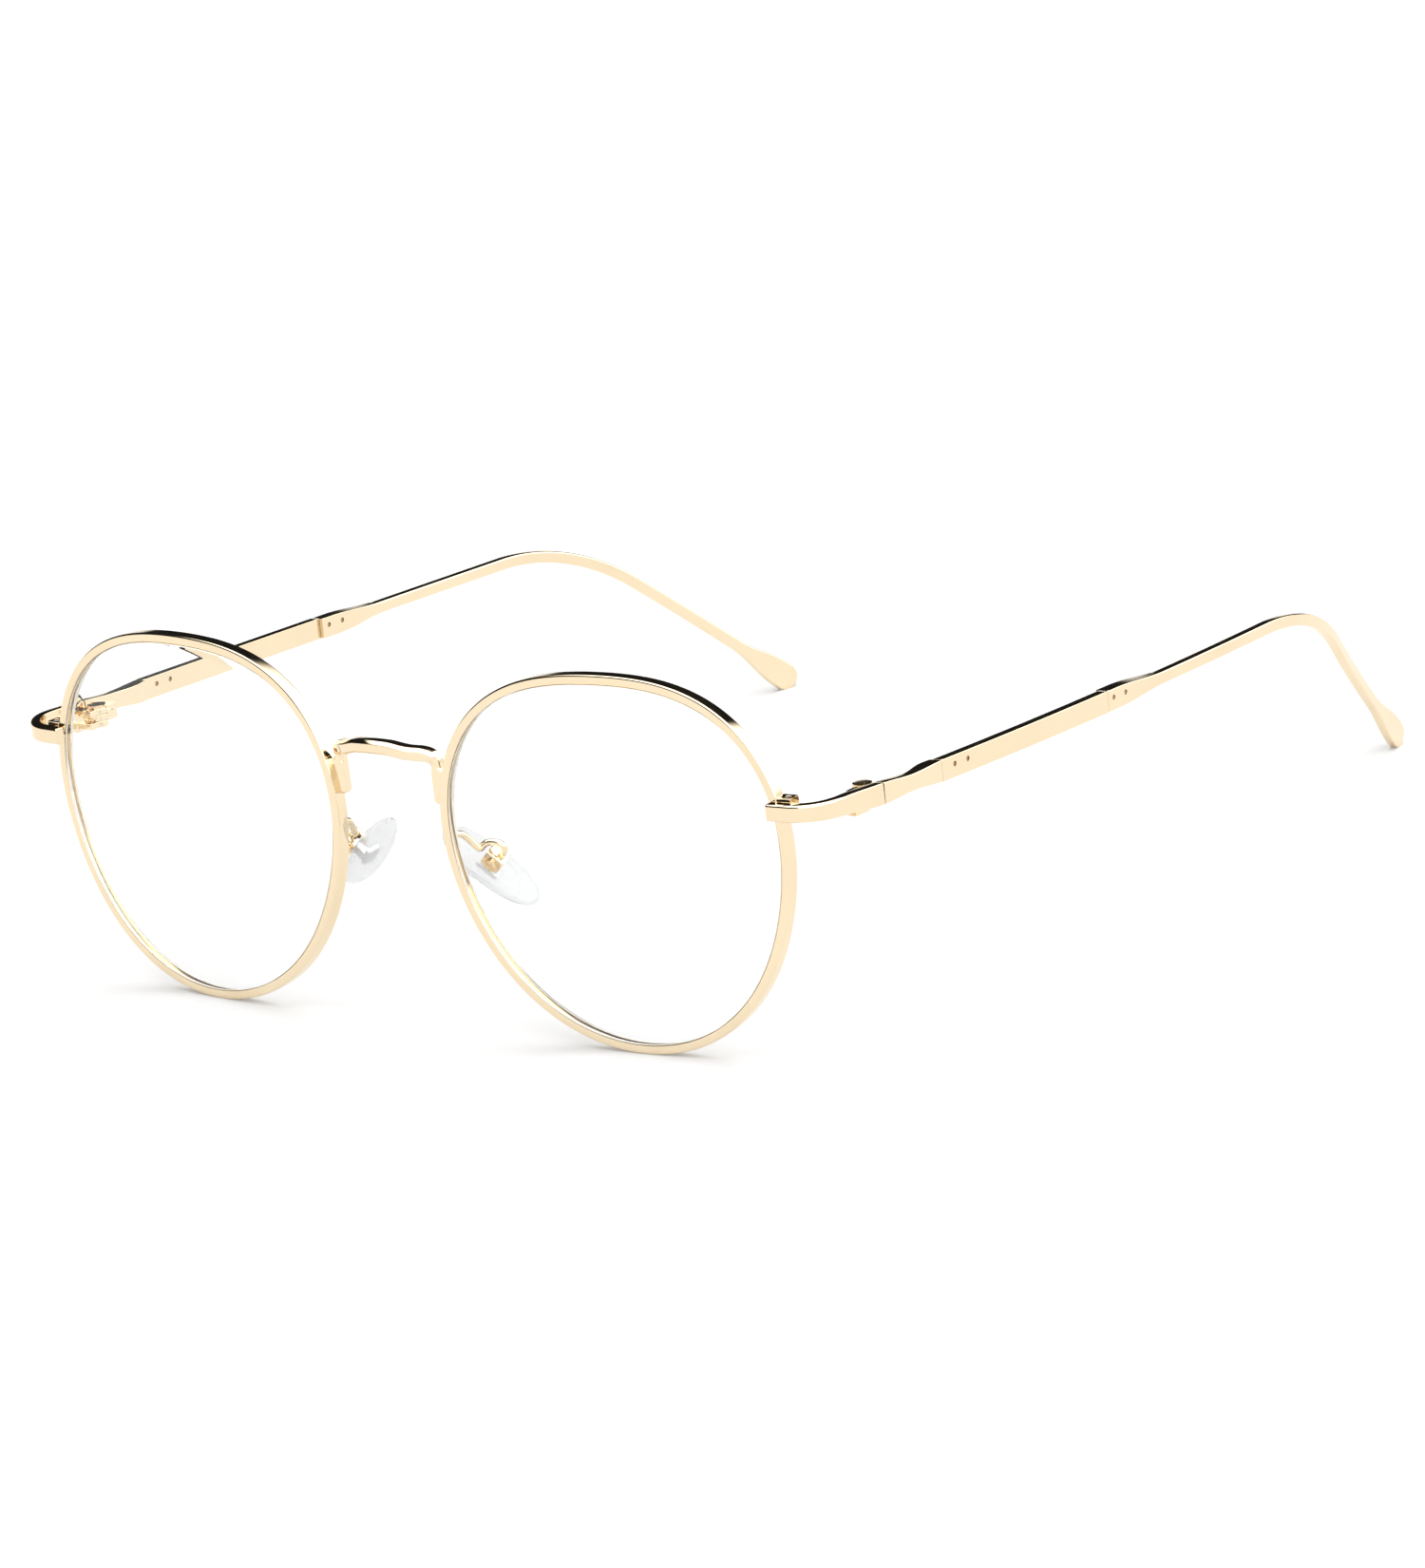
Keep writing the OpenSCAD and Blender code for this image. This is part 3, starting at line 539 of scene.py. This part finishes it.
# Degrees outwards and upwards at the joint, at the bend's start, at its end and at the tip.
HEADING = (1.1, -3.3, -22.0, -13.4)
PITCH = (-2.45, -1.25, -39.5, -40.8)
STEP = 0.1


def along_temple(s, marks):
    """Direction angle at s, in straight steps between the four marks."""
    a, b, c, d = marks
    if s < BEND_AT:
        return math.radians(a + (b - a) * s / BEND_AT)
    if s < BEND_AT + BEND_LEN:
        return math.radians(b + (c - b) * (s - BEND_AT) / BEND_LEN)
    return math.radians(c + (d - c) * (s - BEND_AT - BEND_LEN) / TAIL_LEN)


def temple_along(s):
    h, p = along_temple(s, HEADING), along_temple(s, PITCH)
    return Vector((math.sin(h) * math.cos(p), math.cos(h) * math.cos(p), math.sin(p)))


def temple_line():
    """Middle line, added up in short steps."""
    points, p = [], JOINT.copy()
    for i in range(int(TOTAL / STEP) + 3):
        points.append(p)
        p = p + STEP * temple_along((i + 0.5) * STEP)
    return points


LINE = temple_line()


def temple_point(s):
    i = int(s / STEP)
    return LINE[i].lerp(LINE[i + 1], s / STEP - i)


def temple_axes(s):
    """Directions along, out and up at s."""
    along = temple_along(s)
    out = along.cross(Vector((0, 0, 1))).normalized()
    return along, out, out.cross(along)


def temple_ring(s, inner, outer, half_h, round_in, round_out, inset=0.0):
    along, out, up = temple_axes(s)
    section = bar_section(
        inner - inset, outer - inset, half_h - inset, max(0.03, round_in - inset * 0.5),
        max(0.03, round_out - inset * 0.5),
    )
    return place(section, temple_point(s), out, up)


def temple_piece(name, node, side, start, end, size, step=0.5, holes=()):
    """Sweep from start to end; size(s) gives inner, outer, half height and the corner radii."""
    edge = 0.04
    stations = spaced(start + edge, end - edge, step)
    rings = [temple_ring(start, *size(start), inset=edge)]
    rings.append(temple_ring(start + 0.3 * edge, *size(start), inset=0.3 * edge))
    rings += [temple_ring(s, *size(s)) for s in stations]
    rings.append(temple_ring(end - 0.3 * edge, *size(end), inset=0.3 * edge))
    rings.append(temple_ring(end, *size(end), inset=edge))
    verts, faces = skin(rings)
    name_side = SIDE_NAME[side]
    piece = make(
        f"{name_side}_{name}", verts, faces, side, f"{name_side}_temple", GOLD,
        f"{name_side}_{node}",
    )
    if holes:
        drill(piece, side, holes)
    even_normals(piece)


def drill(piece, side, holes):
    """Cuts round holes across the temple and keeps the result as the piece's mesh."""
    cutters = bmesh.new()
    for s in holes:
        along, out, up = temple_axes(s)
        turn = Matrix((along, up, out)).transposed().to_4x4()
        spot = Matrix.Translation(temple_point(s) + PIN_HEIGHT * up) @ turn
        bmesh.ops.create_cone(
            cutters, cap_ends=True, segments=28, radius1=PIN_HOLE, radius2=PIN_HOLE, depth=6, matrix=spot,
        )
    for v in cutters.verts:
        v.co = Vector((side * v.co.x * MM, (v.co.y + PLANE_Y) * MM, v.co.z * MM))
    bmesh.ops.recalc_face_normals(cutters, faces=cutters.faces)
    mesh = bpy.data.meshes.new("cutter")
    cutters.to_mesh(mesh)
    cutters.free()
    cutter = bpy.data.objects.new("cutter", mesh)
    bpy.context.scene.collection.objects.link(cutter)
    cut = add_modifier(piece, "BOOLEAN", operation="DIFFERENCE", solver="EXACT", object=cutter)
    bpy.context.view_layer.update()
    done = bpy.data.meshes.new_from_object(piece.evaluated_get(bpy.context.evaluated_depsgraph_get()))
    piece.modifiers.remove(cut)
    old = piece.data
    piece.data = done
    bpy.data.meshes.remove(old)
    bpy.data.objects.remove(cutter)
    bpy.data.meshes.remove(mesh)
    for polygon in done.polygons:
        polygon.use_smooth = True
    crease(done, 40)


def crease(mesh, degrees):
    """Marks edges sharper than the angle, so that smooth shading stops there."""
    built = bmesh.new()
    built.from_mesh(mesh)
    for edge in built.edges:
        if len(edge.link_faces) == 2:
            edge.smooth = edge.calc_face_angle(0) < math.radians(degrees)
    built.to_mesh(mesh)
    built.free()


def root_size(s):
    """Waisted, and thicker on the inside before it meets the blade."""
    return 0.75 + 0.7 * bump(s, 9.4, 4.2), FACE, (2.8 - 0.62 * bump(s, 6, 6.4)) / 2, 0.08, 0.17


def blade_size(s):
    """The same all along."""
    return 0.75, FACE, 2.85 / 2, 0.07, 0.15


def tail_size(s):
    """From the blade's height down to a wire, then out to the spoon."""
    share = rise(s, 52.5, 60.5)
    height = (
        PLATE_H + (WIRE_H - PLATE_H) * rise(s, 49.5, 60.5)
        + (SPOON_H - WIRE_H) * rise(s, SPOON, TOTAL - 3.4)
    )
    thick = 1.9 + (1.35 - 1.9) * share - 0.1 * rise(s, SPOON, TOTAL - 4)
    return thick - FACE, FACE, height / 2, 0.08 + 0.22 * share, 0.16 + 0.1 * share


def tip_rings():
    """Rounded end of the spoon, in quarter-circle steps."""
    steps, rings = 14, []
    start = TOTAL - TIP_LEN
    full = tail_size(start)[2]
    for k in range(1, steps + 1):
        a = math.pi / 2 * k / steps
        share = math.cos(a)
        s = start + (TIP_LEN - 0.05) * math.sin(a)
        inner, outer, _, round_in, round_out = tail_size(s)
        width = max(full * (1 - (1 - share) ** 1.6), 0.08)
        squeeze = 0.25 * max(0.0, 1 - share / 0.5)
        limit = min(0.9 * width, 0.45 * (inner + outer - 2 * squeeze))
        rings.append(temple_ring(
            s, inner - squeeze, outer - squeeze, width, min(round_in, limit), min(round_out, limit),
        ))
    return rings


def tail(side):
    """Ear piece with its bend and its spoon-shaped tip."""
    start = BLADE_END + 0.03
    rings = [
        temple_ring(start, *tail_size(start), inset=0.1),
        temple_ring(start + 0.03, *tail_size(start), inset=0.03),
    ]
    rings += [temple_ring(s, *tail_size(s)) for s in spaced(start + 0.1, TOTAL - TIP_LEN, 0.5)]
    rings += tip_rings()
    rings = [[Vector((p.x, p.y, max(p.z, TIP_LOW))) for p in ring] for ring in rings]
    verts, faces = skin(rings)
    name = SIDE_NAME[side]
    piece = make(
        f"{name}_temple_tip", verts, faces, side, f"{name}_temple", GOLD,
        f"{name}_temple_tail",
    )
    drill(piece, side, PINS[2:])
    even_normals(piece)


def temple(side):
    temple_piece("temple_front", "temple_root", side, 0.05, ROOT_LEN, root_size, step=0.25)
    temple_piece(
        "temple_plate", "temple_blade", side, ROOT_LEN + 0.02, BLADE_END, blade_size, holes=PINS[:2],
    )
    tail(side)


# ---- nose pads --------------------------------------------------------------------

PAD_CENTRE = Vector((10.1, 3.7, 21.05))
PAD_HALF_W, PAD_HALF_L = 3.6, 7.5
PAD_TURN = (
    Matrix.Rotation(math.radians(-45), 3, "Y") @ Matrix.Rotation(math.radians(2), 3, "Z")
    @ Matrix.Rotation(math.radians(19), 3, "X")
)


def pad_place(v):
    """A point of the pad's own frame: x to its back, y across, z along it."""
    return PAD_CENTRE + PAD_TURN @ Vector(v)


def pad_outline(share):
    """Oval, a little fuller than an ellipse, scaled about the pad's middle."""
    points, around, fullness = [], 96, 0.87
    for i in range(around):
        a = 2 * math.pi * i / around
        c, s = math.cos(a), math.sin(a)
        across = PAD_HALF_W * math.copysign(abs(c) ** fullness, c)
        up = PAD_HALF_L * math.copysign(abs(s) ** fullness, s)
        points.append((share * across, share * up))
    return points


def nose_pad(side):
    """Pad from its crowned skin side to its back, where a low boss surrounds the metal core."""
    crown = [(share, -1.38 + 0.05 * (share / 0.4) ** 2) for share in (0.0, 0.08, 0.16, 0.24, 0.32, 0.4)]
    crown += [(0.44, -1.31), (0.47, -1.22), (0.5, -1.19), (0.58, -1.17), (0.66, -1.11), (0.74, -1.02)]
    edge = [
        (0.82, -0.88), (0.89, -0.68), (0.945, -0.45), (0.98, -0.2), (0.995, 0.02), (0.985, 0.24),
        (0.955, 0.42), (0.91, 0.54), (0.84, 0.6), (0.7, 0.62), (0.6, 0.62),
    ]
    boss = [(0.56, 0.625), (0.53, 0.65), (0.51, 0.7), (0.48, 0.73)]
    boss += [(share, 0.74) for share in (0.4, 0.24, 0.12, 0.0)]
    rings = []
    for share, x in crown + edge + boss:
        rings.append([pad_place((x, y, z)) for y, z in pad_outline(max(share, 0.001))])
    verts, faces = skin(rings)
    name = SIDE_NAME[side]
    piece = make(
        f"{name}_pad_skin", verts, faces, side, f"{name}_pad", SILICONE, f"{name}_nose_pad",
    )


def pad_arm(side):
    """Wire that leaves the back of the rim, dips beside the box and loops into its back wall."""
    rim_end, wall, pivot_y = Vector((9.3, -1.1, 26.4)), 3.12, -0.9
    low, over = Vector((2.5, -1.2, 2.2)), Vector((1.1, 0.6, 0.25))
    wire_r, around = 0.45, 20
    dip = (rim_end, rim_end + Vector((0.3, 1.5, 0.5)), pad_place(low - 0.9 * over), pad_place(low))
    loop = (
        pad_place(low), pad_place(low + over), pad_place((wall + 2.5, pivot_y, -0.3)),
        pad_place((wall + 0.3, pivot_y, -0.4)),
    )
    path = [bezier(*dip, t) for t in spaced(0, 1, 0.04)[:-1]]
    path += [bezier(*loop, t) for t in spaced(0, 1, 0.03)]
    path.append(pad_place((wall, pivot_y, -0.4)))
    rings, last = [], len(path) - 1
    for i, p in enumerate(path):
        along = (path[min(i + 1, last)] - path[max(i - 1, 0)]).normalized()
        across = along.cross(Vector((0.2, 0.1, 1))).normalized()
        up = along.cross(across)
        angles = [2 * math.pi * k / around for k in range(around)]
        rings.append([p + wire_r * (math.cos(a) * across + math.sin(a) * up) for a in angles])
    verts, faces = skin(rings)
    name = SIDE_NAME[side]
    piece = make(f"{name}_pad_wire", verts, faces, side, "front", GOLD, f"{name}_pad_arm")
    even_normals(piece)


# ---- CAD pieces that are shown as they are --------------------------------------------

def finish_cad(node, material, width):
    """Soft edges, even shading and a material on a CAD piece."""
    piece = frame["nodes"][node]
    add_modifier(piece, "WELD", merge_threshold=1e-6)
    add_modifier(
        piece, "BEVEL", width=width * MM, segments=3, limit_method="ANGLE", angle_limit=math.radians(40),
        use_clamp_overlap=True,
    )
    even_normals(piece)
    piece.data.materials.clear()
    piece.data.materials.append(material)
    piece.data.polygons.foreach_set("use_smooth", [True] * len(piece.data.polygons))


# How wide the softened edges of each shown CAD piece are.
GOLD_PIECES = {
    "lock_upper": 0.05, "lock_lower": 0.05, "hinge_front": 0.08, "hinge_rear": 0.08, "pad_box": 0.16,
}
SCREW_PIECES = {"lock_screw": 0.05, "hinge_screw": 0.2, "pad_screw": 0.06}

for side in (LEFT, RIGHT):
    rim(side)
    lens(side)
    end_piece(side)
    temple(side)
    nose_pad(side)
    pad_arm(side)
    for node, width in GOLD_PIECES.items():
        finish_cad(f"{SIDE_NAME[side]}_{node}", GOLD, width)
    for node, width in SCREW_PIECES.items():
        finish_cad(f"{SIDE_NAME[side]}_{node}", SCREW, width)
    finish_cad(f"{SIDE_NAME[side]}_pad_insert", STEEL, 0.06)
    # The pins' dark colour is painted shade of their recesses.
    finish_cad(f"{SIDE_NAME[side]}_temple_pins", SHADED_PIN, 0.04)
bridge()


# ---- floor, light and camera ------------------------------------------------------------

def floor():
    """Round white floor that gives off a little light, so that it stays white in the picture."""
    around, radii = 96, (0.05, 0.1, 0.2, 0.4, 0.8, 1.6, 3.2)
    rings = []
    for radius in radii:
        angles = [2 * math.pi * k / around for k in range(around)]
        rings.append([Vector((radius * math.cos(a), radius * math.sin(a), 0)) for a in angles])
    verts, faces = skin(rings, caps=False)
    verts.append(Vector((0, 0, 0)))
    faces += [(len(verts) - 1, k, (k + 1) % around) for k in range(around)]
    mesh = bpy.data.meshes.new("floor")
    mesh.from_pydata(verts, [], faces)
    built = bpy.data.objects.new("floor", mesh)
    bpy.context.scene.collection.objects.link(built)
    material, _, _, shader = node_material("floor_white")
    shader.inputs["Base Color"].default_value = (0.5, 0.5, 0.5, 1)
    shader.inputs["Roughness"].default_value = 0.7
    shader.inputs["Specular IOR Level"].default_value = 0.0
    shader.inputs["Emission Color"].default_value = (1, 1, 1, 1)
    shader.inputs["Emission Strength"].default_value = 0.2
    mesh.materials.append(material)


def height(degrees):
    """Height on the unit sphere at an angle above the horizon."""
    return math.sin(math.radians(degrees))


def bands(nodes, links, source, stops):
    """Grey levels along a value from -1 to 1."""
    scaled = nodes.new("ShaderNodeMapRange")
    scaled.inputs["From Min"].default_value, scaled.inputs["From Max"].default_value = -1, 1
    links.new(source, scaled.inputs["Value"])
    made = nodes.new("ShaderNodeValToRGB")
    elements = made.color_ramp.elements
    while len(elements) < len(stops):
        elements.new(0.5)
    for element, (at, level) in zip(elements, stops):
        element.position = 0.5 + 0.5 * at
        element.color = (level, level, level, 1)
    links.new(scaled.outputs["Result"], made.inputs["Fac"])
    return made.outputs["Color"]


def studio():
    """Pale at the horizon, a dark band above it that is open towards +X, and a bright top light."""
    world = bpy.data.worlds.new("studio")
    bpy.context.scene.world = world
    world.use_nodes = True
    nodes, links = world.node_tree.nodes, world.node_tree.links
    coordinates = nodes.new("ShaderNodeTexCoord")
    split = nodes.new("ShaderNodeSeparateXYZ")
    links.new(coordinates.outputs["Generated"], split.inputs["Vector"])
    dark = bands(nodes, links, split.outputs["Z"], [
        (-1, 0.3), (height(4), 0.3), (height(7), 0.004), (height(44), 0.004), (height(52), 1.0), (1, 1.0),
    ])
    light = bands(nodes, links, split.outputs["Z"], [
        (-1, 0.3), (height(5), 0.34), (height(9), 0.8), (height(56), 0.9), (1, 1.0),
    ])
    open_side = bands(nodes, links, split.outputs["X"], [(-1, 0), (0.1, 0), (0.2, 1), (1, 1)])
    mixed = nodes.new("ShaderNodeMix")
    mixed.data_type = "RGBA"
    links.new(open_side, mixed.inputs["Factor"])
    links.new(dark, mixed.inputs["A"])
    links.new(light, mixed.inputs["B"])
    links.new(mixed.outputs["Result"], nodes["Background"].inputs["Color"])
    nodes["Background"].inputs["Strength"].default_value = 3.0


def camera():
    """Looks from the wearer's left front, slightly down and slightly rolled."""
    data = bpy.data.cameras.new("camera")
    data.lens, data.sensor_width = 186.19, 36.0
    data.clip_start, data.clip_end = 0.05, 20
    holder = bpy.data.objects.new("camera", data)
    bpy.context.scene.collection.objects.link(holder)
    azimuth, elevation, roll = math.radians(40), math.radians(15.623), math.radians(-6.753)
    distance = 1.0747
    aim = Vector((0, 60.803 + PLANE_Y, 14.102)) * MM
    level = Vector((math.sin(azimuth), -math.cos(azimuth), 0))
    back = level * math.cos(elevation) + Vector((0, 0, math.sin(elevation)))
    right = Vector((math.cos(azimuth), math.sin(azimuth), 0))
    up = back.cross(right)
    turned_right = right * math.cos(roll) + up * math.sin(roll)
    turned_up = up * math.cos(roll) - right * math.sin(roll)
    basis = Matrix((turned_right, turned_up, back)).transposed()
    holder.matrix_world = Matrix.Translation(aim + back * distance) @ basis.to_4x4()
    bpy.context.scene.camera = holder


floor()
studio()
camera()
bpy.context.scene.view_settings.view_transform = "Standard"
